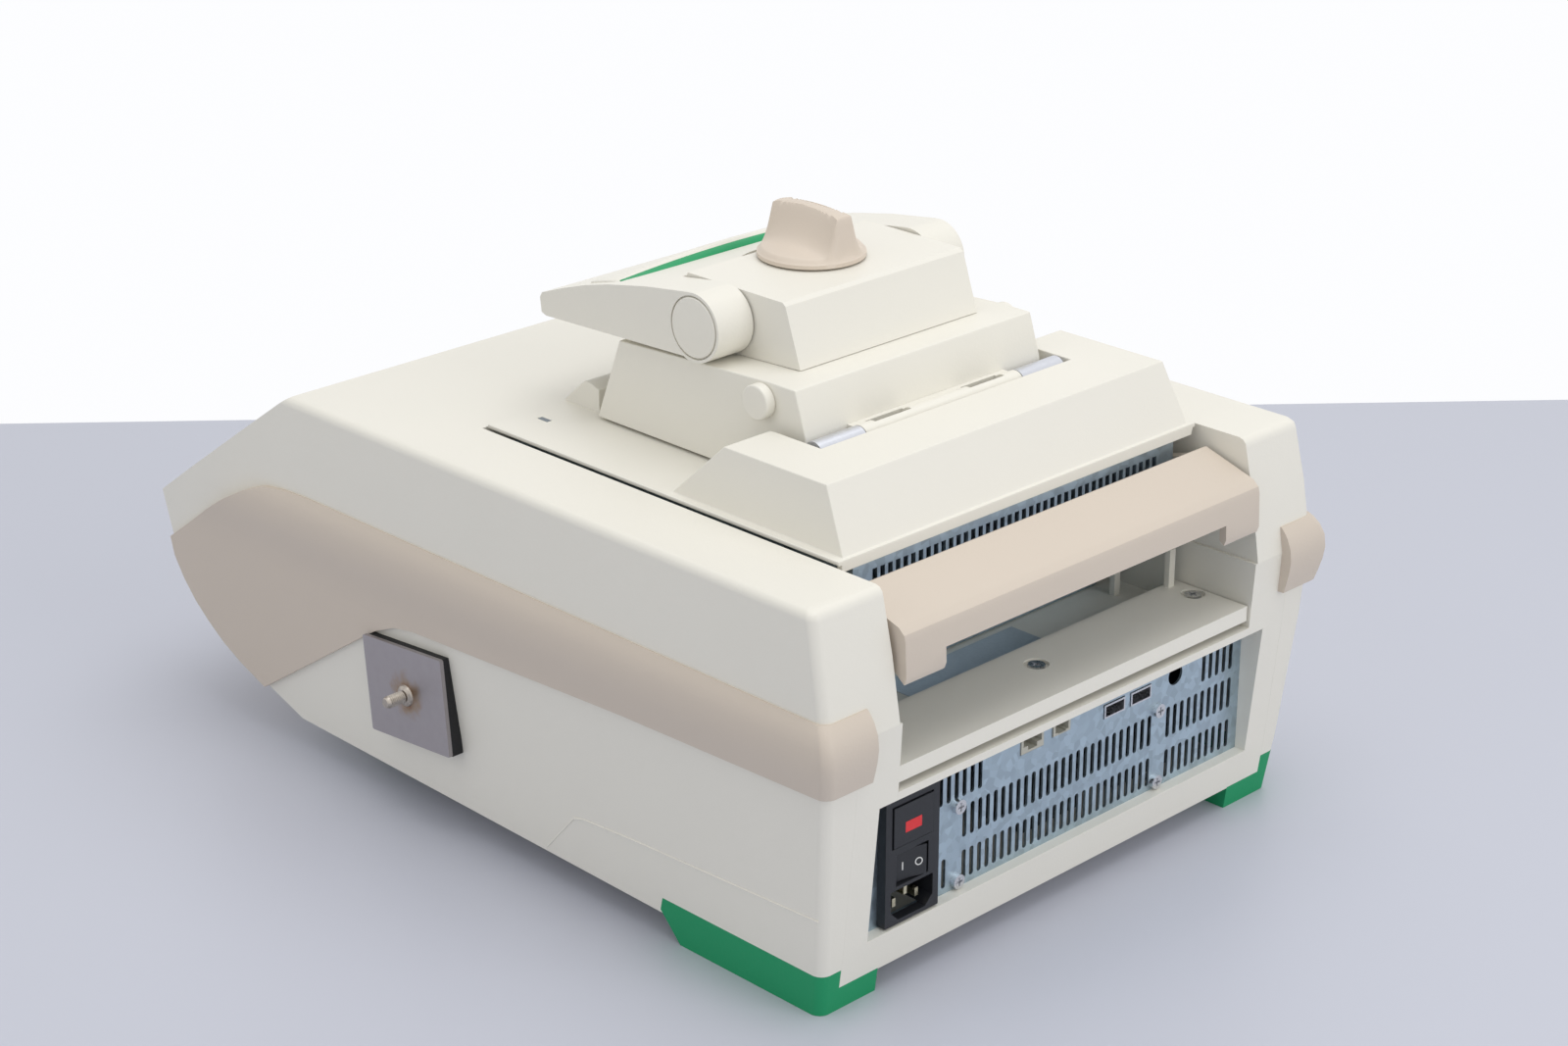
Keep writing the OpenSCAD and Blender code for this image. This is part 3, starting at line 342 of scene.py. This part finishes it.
caps_low, caps_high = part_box("lever_caps")
cap_y = (caps_low[1] + caps_high[1]) / 2
cap_z = (caps_low[2] + caps_high[2]) / 2
cap_r = (caps_high[2] - caps_low[2]) / 2 - 0.0006
bm = bmesh.new()
face_x = caps_high[0] - 0.0024
profile = [(face_x, 0.0), (face_x, cap_r), (caps_high[0] - 0.0009, cap_r), (caps_high[0] - 0.0005, cap_r - 0.0004),
           (caps_high[0] - 0.0002, cap_r * 0.7), (caps_high[0], 0.0)]
line = [bm.verts.new((x, cap_y + r, cap_z)) for x, r in profile]
edges = [bm.edges.new(pair) for pair in zip(line, line[1:])]
bmesh.ops.spin(bm, geom=line + edges, cent=(0, cap_y, cap_z), axis=(1, 0, 0), dvec=(0, 0, 0),
               angle=2 * pi, steps=64, use_merge=True, use_duplicate=False)
bmesh.ops.remove_doubles(bm, verts=bm.verts, dist=1e-6)
bmesh.ops.mirror(bm, geom=bm.faces[:] + bm.edges[:] + bm.verts[:], axis="X", merge_dist=1e-7)
bmesh.ops.recalc_face_normals(bm, faces=bm.faces)
for face in bm.faces:
    face.smooth = True
for edge in bm.edges:
    edge.smooth = not (edge.is_manifold and edge.calc_face_angle(0) > radians(40))
caps = add_piece("hub_caps", bm, "lever")
caps.data.materials.append(cream)
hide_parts("lever_caps")

# ---- Knob and lock bar --------------------------------------------------------------------------
# Beige grips: the pressure knob on the lid and the bar across the rear of the bay. The knob is a
# shallow dome with a fin across it, flared at its ends and scooped on both sides for the fingers.
knob_low, knob_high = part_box("pressure_knob")
knob_x = (knob_low[0] + knob_high[0]) / 2
knob_y = (knob_low[1] + knob_high[1]) / 2
knob_r = (knob_high[0] - knob_low[0]) / 2
fin_top = knob_high[2] - knob_low[2]


def smooth_step(share):
    """A share from 0 to 1, eased at both ends."""
    share = min(1, max(0, share))
    return share * share * (3 - 2 * share)


bm = bmesh.new()
line = [bm.verts.new((knob_x, knob_y + knob_r * step / 72, knob_low[2])) for step in range(73)]
edges = [bm.edges.new(pair) for pair in zip(line, line[1:])]
bmesh.ops.spin(bm, geom=line + edges, cent=(knob_x, knob_y, 0), axis=(0, 0, 1), dvec=(0, 0, 0),
               angle=2 * pi, steps=144, use_merge=True, use_duplicate=False)
bmesh.ops.remove_doubles(bm, verts=bm.verts, dist=1e-6)
rim = [edge for edge in bm.edges if edge.is_boundary]
for vert in bm.verts:
    across, along = vert.co.x - knob_x, vert.co.y - knob_y
    reach = min(1, (across ** 2 + along ** 2) ** 0.5 / knob_r)
    dome = 0.0034 + 0.0052 * (1 - reach ** 1.6) - 0.0016 * smooth_step((reach - 0.9) / 0.1)
    flare = (abs(along) / knob_r) ** 3
    thick = 0.0030 + 0.0022 * flare
    foot = thick + 0.0130 - 0.006 * flare
    side = min(1, max(0, (foot - abs(across)) / (foot - thick)))
    wall = 1 - (1 - side ** 3.2) ** 1.5
    end = smooth_step((knob_r * 0.93 - abs(along)) / 0.0030)
    crown = fin_top - 0.0022 * (abs(along) / knob_r) ** 2 - 0.0005 * (across / thick) ** 2 * (abs(across) < thick)
    vert.co.z = knob_low[2] + dome + (crown - dome) * wall * end
skirt = bmesh.ops.extrude_edge_only(bm, edges=rim)
for vert in [item for item in skirt["geom"] if isinstance(item, bmesh.types.BMVert)]:
    vert.co.z = knob_low[2]
bmesh.ops.holes_fill(bm, edges=[edge for edge in bm.edges if edge.is_boundary], sides=0)
bmesh.ops.recalc_face_normals(bm, faces=bm.faces)
for face in bm.faces:
    face.smooth = True
for edge in bm.edges:
    edge.smooth = not (edge.is_manifold and edge.calc_face_angle(0) > radians(55))
knob = add_piece("knob_grip", bm, "knob")
knob.data.materials.append(moulded("knob_abs", srgb(214, 201, 186), depth=0.3, roughness=0.48))
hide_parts("pressure_knob")
rounded("lock_bar", 0.0016, beige, segments=4)

# ---- Rear panel ---------------------------------------------------------------------------------
# Hot-dip galvanised sheet, punched with air slots. The zinc crystals show as pale and dark flakes.
def plated(name, color, roughness, flake_pitch, flake_depth):
    """A metal with a mottled or crystalline finish."""
    material, tree, output = new_material(name)
    surface = tree.nodes.new("ShaderNodeBsdfPrincipled")
    surface.inputs["Metallic"].default_value = 1
    place = tree.nodes.new("ShaderNodeTexCoord")
    flakes = tree.nodes.new("ShaderNodeTexVoronoi")
    flakes.inputs["Scale"].default_value = flake_pitch
    level = tree.nodes.new("ShaderNodeSeparateColor")
    span = tree.nodes.new("ShaderNodeMapRange")
    span.inputs["To Min"].default_value = 1 - flake_depth
    span.inputs["To Max"].default_value = 1 + flake_depth
    mottle = tree.nodes.new("ShaderNodeMix")
    mottle.data_type = "RGBA"
    mottle.blend_type = "MULTIPLY"
    mottle.inputs["Factor"].default_value = 1
    mottle.inputs[6].default_value = color
    dull = tree.nodes.new("ShaderNodeMapRange")
    dull.inputs["To Min"].default_value = roughness - 0.06
    dull.inputs["To Max"].default_value = roughness + 0.08
    for start, end in (
            (place.outputs["Object"], flakes.inputs["Vector"]), (flakes.outputs["Color"], level.inputs[0]),
            (level.outputs[0], span.inputs["Value"]), (span.outputs["Result"], mottle.inputs[7]),
            (mottle.outputs[2], surface.inputs["Base Color"]), (level.outputs[1], dull.inputs["Value"]),
            (dull.outputs["Result"], surface.inputs["Roughness"]),
            (surface.outputs[0], output.inputs["Surface"])):
        tree.links.new(start, end)
    return material


def finish(material, *nodes):
    """Gives CAD nodes a material and leaves their meshes alone."""
    for node in nodes:
        for holder in frame["nodes"][node].material_slots:
            holder.material = material


zinc = plated("galvanised_sheet", srgb(176, 193, 204), 0.42, 260, 0.12)
bright = plated("bright_steel", srgb(214, 215, 218), 0.28, 500, 0.04)
finish(zinc, "rear_panel", "module_chassis", "power_supply")
finish(bright, "panel_screws", "tray_screws", "usb_ports", "clamp_screw", "latch_hook")
tube = plated("satin_tube", srgb(212, 214, 220), 0.34, 1400, 0.015)
finish(tube, "hinge_tubes")

# ---- Mains inlet --------------------------------------------------------------------------------
# A black power entry module: fuse drawer with a red window, rocker switch and three-pin inlet.
black = moulded("black_nylon", srgb(30, 32, 37), depth=0.2, roughness=0.4)
for node in ("power_inlet", "fuse_drawer", "power_switch"):
    rounded(node, 0.0003, black, segments=2)
# The marks on the rocker are pad printed in white, a ring for off and a bar for on.
rocker_low, rocker_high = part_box("power_switch")
rocker_x = (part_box("power_inlet")[0][0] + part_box("power_inlet")[1][0]) / 2
rocker_z = (rocker_low[2] + rocker_high[2]) / 2
white_ink = moulded("white_ink", srgb(226, 226, 224), depth=0.05, roughness=0.5)
off_face = Vector((0.294, 0.956, 0)).normalized()
on_face = Vector((0.11, 0.994, 0)).normalized()
for name, normal, x_at, outline in (("off_mark", off_face, -0.0041, "ring"), ("on_mark", on_face, 0.0042, "bar")):
    bm = bmesh.new()
    if outline == "ring":
        bmesh.ops.create_circle(bm, cap_ends=True, segments=32, radius=0.0019)
        bmesh.ops.inset_region(bm, faces=bm.faces[:], thickness=0.0005, use_even_offset=True, use_boundary=True)
        bmesh.ops.delete(bm, geom=[max(bm.faces, key=lambda f: len(f.verts))], context="FACES_ONLY")
    else:
        bmesh.ops.create_grid(bm, x_segments=1, y_segments=1, size=0.0019)
        bmesh.ops.scale(bm, vec=(0.16, 1, 1), verts=bm.verts)
    bmesh.ops.solidify(bm, geom=bm.faces[:], thickness=0.00008)
    turn = Matrix((normal.cross(Vector((0, 0, 1))) * -1, Vector((0, 0, 1)), normal)).transposed().to_4x4()
    face_y = rocker_high[1] - 0.0024 * ((x_at + 0.0078) / 0.0078) if outline == "ring" else (
        rocker_high[1] - 0.0024 - 0.001 * (x_at / 0.009))
    turn.translation = Vector((rocker_x + x_at, face_y, rocker_z)) + normal * 0.00012
    bmesh.ops.transform(bm, matrix=turn, verts=bm.verts)
    bmesh.ops.recalc_face_normals(bm, faces=bm.faces)
    mark = add_piece(name, bm, "rocker")
    mark.data.materials.append(white_ink)
red = moulded("red_window", srgb(222, 44, 48), depth=0.05, roughness=0.25)
finish(red, "fuse_window")
brass = plated("plated_brass", srgb(205, 198, 170), 0.3, 400, 0.03)
finish(brass, "inlet_pins")
jack = moulded("jack_nylon", srgb(186, 184, 172), depth=0.15, roughness=0.45)
finish(jack, "network_jack")

# ---- Anchor plate -------------------------------------------------------------------------------
# A bare steel plate on black foam tape, with a threaded stud welded to its middle. The weld has
# left brown heat marks that fade outwards.
plate_low, plate_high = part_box("anchor_plate")
weld = [(low + high) / 2 for low, high in zip(plate_low, plate_high)]
material, tree, output = new_material("heat_marked_steel")
surface = tree.nodes.new("ShaderNodeBsdfPrincipled")
surface.inputs["Metallic"].default_value = 0.85
place = tree.nodes.new("ShaderNodeTexCoord")
centred = tree.nodes.new("ShaderNodeMapping")
centred.inputs["Location"].default_value = [-value for value in weld]
reach = tree.nodes.new("ShaderNodeVectorMath")
reach.operation = "LENGTH"
cloud = tree.nodes.new("ShaderNodeTexNoise")
cloud.inputs["Scale"].default_value = 180
cloud.inputs["Detail"].default_value = 5
wander = tree.nodes.new("ShaderNodeMath")
wander.operation = "MULTIPLY_ADD"
wander.inputs[1].default_value = 0.016
heat = tree.nodes.new("ShaderNodeValToRGB")
heat.color_ramp.elements[0].color = srgb(128, 92, 62)
heat.color_ramp.elements[0].position = 0.0
heat.color_ramp.elements[1].color = srgb(168, 163, 166)
heat.color_ramp.elements[1].position = 1.0
straw = heat.color_ramp.elements.new(0.42)
straw.color = srgb(160, 142, 126)
scaled = tree.nodes.new("ShaderNodeMapRange")
scaled.inputs["From Min"].default_value = 0.010
scaled.inputs["From Max"].default_value = 0.021
worn = tree.nodes.new("ShaderNodeMapRange")
worn.inputs["To Min"].default_value = 0.38
worn.inputs["To Max"].default_value = 0.62
for start, end in (
        (place.outputs["Object"], centred.inputs["Vector"]), (centred.outputs[0], reach.inputs[0]),
        (place.outputs["Object"], cloud.inputs["Vector"]), (cloud.outputs["Fac"], wander.inputs[0]),
        (reach.outputs["Value"], wander.inputs[2]), (wander.outputs[0], scaled.inputs["Value"]),
        (scaled.outputs["Result"], heat.inputs["Fac"]), (heat.outputs["Color"], surface.inputs["Base Color"]),
        (cloud.outputs["Fac"], worn.inputs["Value"]), (worn.outputs["Result"], surface.inputs["Roughness"]),
        (surface.outputs[0], output.inputs["Surface"])):
    tree.links.new(start, end)
finish(material, "anchor_plate")
foam = moulded("foam_tape", srgb(34, 34, 35), pitch=1500, depth=0.6, roughness=0.85)
finish(foam, "anchor_pad", "block_seal")

# The stud: rolled ridges on a steel pin, on a small weld bead.
stud_low, stud_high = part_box("anchor_stud")
stud_y = (stud_low[1] + stud_high[1]) / 2
stud_z = (stud_low[2] + stud_high[2]) / 2
bm = bmesh.new()
profile = [(stud_low[0], 0.0), (stud_low[0], 0.0054), (stud_low[0] + 0.0008, 0.0050),
           (stud_low[0] + 0.0016, 0.0034)]
thread_pitch = 0.001
turns = int((stud_high[0] - stud_low[0] - 0.0026) / thread_pitch)
for turn in range(turns):
    start = stud_low[0] + 0.0018 + turn * thread_pitch
    profile += [(start, 0.00245), (start + thread_pitch / 2, 0.003)]
profile += [(stud_high[0] - 0.0006, 0.0025), (stud_high[0], 0.0021), (stud_high[0], 0.0)]
line = [bm.verts.new((x, stud_y + r, stud_z)) for x, r in profile]
edges = [bm.edges.new(pair) for pair in zip(line, line[1:])]
bmesh.ops.spin(bm, geom=line + edges, cent=(0, stud_y, stud_z), axis=(1, 0, 0), dvec=(0, 0, 0),
               angle=2 * pi, steps=32, use_merge=True, use_duplicate=False)
bmesh.ops.remove_doubles(bm, verts=bm.verts, dist=1e-6)
bmesh.ops.recalc_face_normals(bm, faces=bm.faces)
stud = add_piece("threaded_stud", bm, "base")
stud.data.materials.append(plated("stud_steel", srgb(176, 168, 158), 0.34, 700, 0.1))
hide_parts("anchor_stud")

# ---- Front display ------------------------------------------------------------------------------
# A dark touch screen in a grey bezel on the sloping front, with a round standby button beside it.
grey = moulded("grey_abs", srgb(110, 114, 118), depth=0.25)
rounded("display_bezel", 0.0006, grey)
finish(grey, "display_module", "plate_carrier")
material, tree, output = new_material("screen_glass")
surface = tree.nodes.new("ShaderNodeBsdfPrincipled")
surface.inputs["Roughness"].default_value = 0.08
smear = tree.nodes.new("ShaderNodeTexNoise")
smear.inputs["Scale"].default_value = 30
place = tree.nodes.new("ShaderNodeTexCoord")
tone = tree.nodes.new("ShaderNodeValToRGB")
tone.color_ramp.elements[0].color = srgb(22, 26, 32)
tone.color_ramp.elements[1].color = srgb(32, 37, 45)
tree.links.new(place.outputs["Object"], smear.inputs["Vector"])
tree.links.new(smear.outputs["Fac"], tone.inputs["Fac"])
tree.links.new(tone.outputs["Color"], surface.inputs["Base Color"])
tree.links.new(surface.outputs[0], output.inputs["Surface"])
finish(material, "display_glass")
silver = moulded("silver_abs", srgb(205, 207, 210), depth=0.15, roughness=0.35)
rounded("standby_button", 0.0006, silver)

# ---- Inside the base and the module -------------------------------------------------------------
# Fans, boards, connectors, heat sink and sample block, which show through slots and open lids.
finish(black, "base_fan_frames", "base_fan_rotor_right", "base_fan_rotor_left", "base_connector",
       "module_fan_frames", "module_fan_rotor_right", "module_fan_rotor_left", "module_connector")
board = moulded("board_laminate", srgb(38, 110, 74), pitch=300, depth=0.1, roughness=0.4)
finish(board, "main_board", "module_board")
alloy = plated("machined_alloy", srgb(206, 208, 212), 0.32, 340, 0.03)
finish(alloy, "sample_block", "heat_sink", "heated_plate")
ceramic = moulded("white_ceramic", srgb(232, 232, 226), depth=0.1, roughness=0.55)
finish(ceramic, "thermoelectric_modules")
foil = plated("label_foil", srgb(200, 203, 207), 0.36, 900, 0.02)
finish(foil, "rating_label")
lens = moulded("light_lens", srgb(92, 104, 112), depth=0.03, roughness=0.2)
finish(lens, "status_light")
